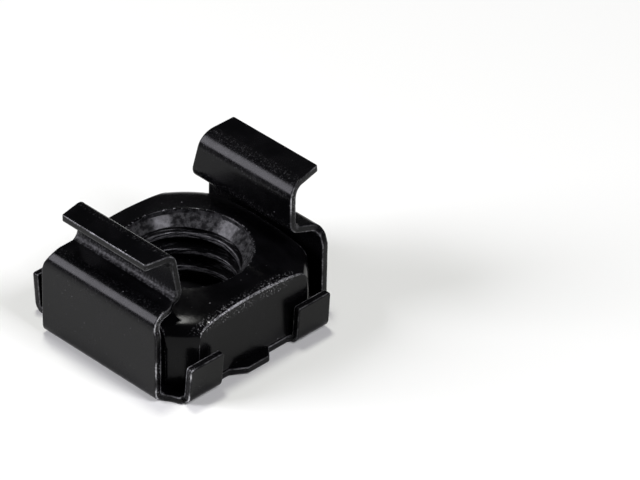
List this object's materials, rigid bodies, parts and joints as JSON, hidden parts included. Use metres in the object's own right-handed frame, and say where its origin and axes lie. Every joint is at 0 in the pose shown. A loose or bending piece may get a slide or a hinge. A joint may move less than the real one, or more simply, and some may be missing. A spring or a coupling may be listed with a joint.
{
  "type": "cage nut",
  "caption": "Loose square nut in a folded spring-steel cage whose lipped ears snap into a square hole in a rack rail or panel.",
  "frame": {"origin": "on the thread axis, at the underside of the cage's base plate", "axes": "+Z along the thread axis from the base plate towards the panel, +X towards the ear with the longer lip, Y along the ears"},
  "size_m": [0.0149, 0.0141, 0.0097],
  "materials": {
    "cage": "black zinc plating, semi-gloss, worn bright on the cut edges",
    "square_nut": "black zinc plating, semi-gloss, worn bright on the edges of the crown"
  },
  "bodies": {
    "root": {"cage": "cage", "square_nut": "square_nut"}
  },
  "joints": []
}
